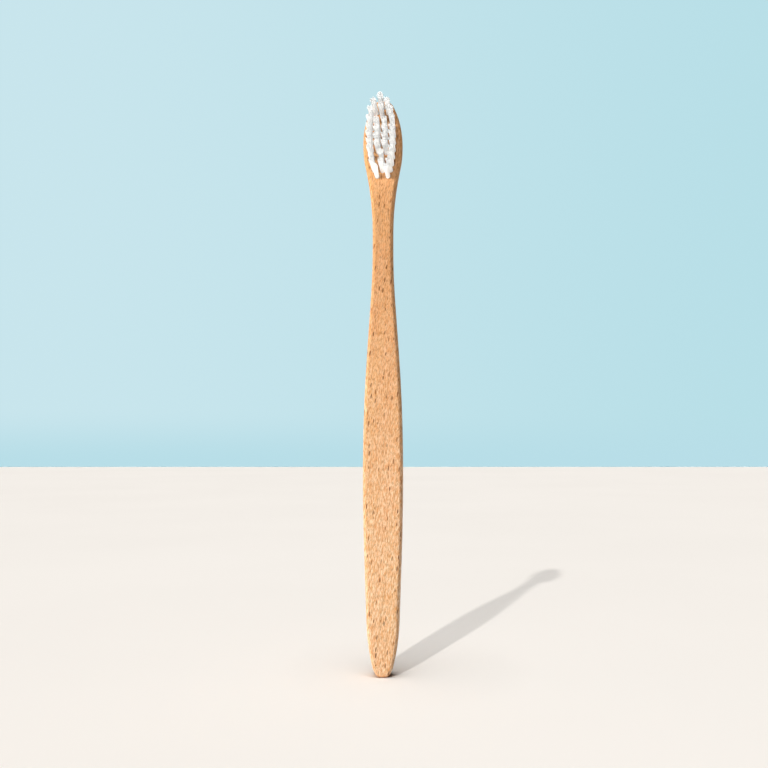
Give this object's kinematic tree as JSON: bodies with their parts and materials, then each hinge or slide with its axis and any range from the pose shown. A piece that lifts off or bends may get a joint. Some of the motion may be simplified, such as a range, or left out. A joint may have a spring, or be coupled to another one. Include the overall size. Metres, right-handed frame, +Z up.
{
  "type": "manual toothbrush",
  "caption": "Flat wooden toothbrush with a waisted neck, rounded edges and an oval head of round white nylon tufts, standing upright on its narrow tail.",
  "frame": {"origin": "centre of the tail foot, the small flat end the brush stands on", "axes": "+Z up the length to the toe of the head, +Y out of the plain back, bristles towards -Y, +X to the right seen from the bristle side"},
  "size_m": [0.013, 0.0191, 0.19],
  "materials": {
    "beech_wood": "sanded and oiled, fine brown flecks",
    "nylon_bristle": "soft white filaments, satin",
    "anchor_metal": "bright cut strip"
  },
  "bodies": {
    "root": {"handle": "beech_wood", "anchor_plates": "anchor_metal", "tuft_toe": "nylon_bristle", "tuft_rim_left_01": "nylon_bristle", "tuft_rim_left_02": "nylon_bristle", "tuft_rim_left_03": "nylon_bristle", "tuft_rim_left_04": "nylon_bristle", "tuft_rim_left_05": "nylon_bristle", "tuft_rim_left_06": "nylon_bristle", "tuft_rim_left_07": "nylon_bristle", "tuft_rim_left_08": "nylon_bristle", "tuft_rim_left_09": "nylon_bristle", "tuft_rim_left_10": "nylon_bristle", "tuft_rim_right_01": "nylon_bristle", "tuft_rim_right_02": "nylon_bristle", "tuft_rim_right_03": "nylon_bristle", "tuft_rim_right_04": "nylon_bristle", "tuft_rim_right_05": "nylon_bristle", "tuft_rim_right_06": "nylon_bristle", "tuft_rim_right_07": "nylon_bristle", "tuft_rim_right_08": "nylon_bristle", "tuft_rim_right_09": "nylon_bristle", "tuft_rim_right_10": "nylon_bristle", "tuft_core_left_1": "nylon_bristle", "tuft_core_left_2": "nylon_bristle", "tuft_core_left_3": "nylon_bristle", "tuft_core_left_4": "nylon_bristle", "tuft_core_right_1": "nylon_bristle", "tuft_core_right_2": "nylon_bristle", "tuft_core_right_3": "nylon_bristle", "tuft_core_right_4": "nylon_bristle", "tuft_centre_1": "nylon_bristle", "tuft_centre_2": "nylon_bristle", "tuft_centre_3": "nylon_bristle"}
  },
  "joints": []
}
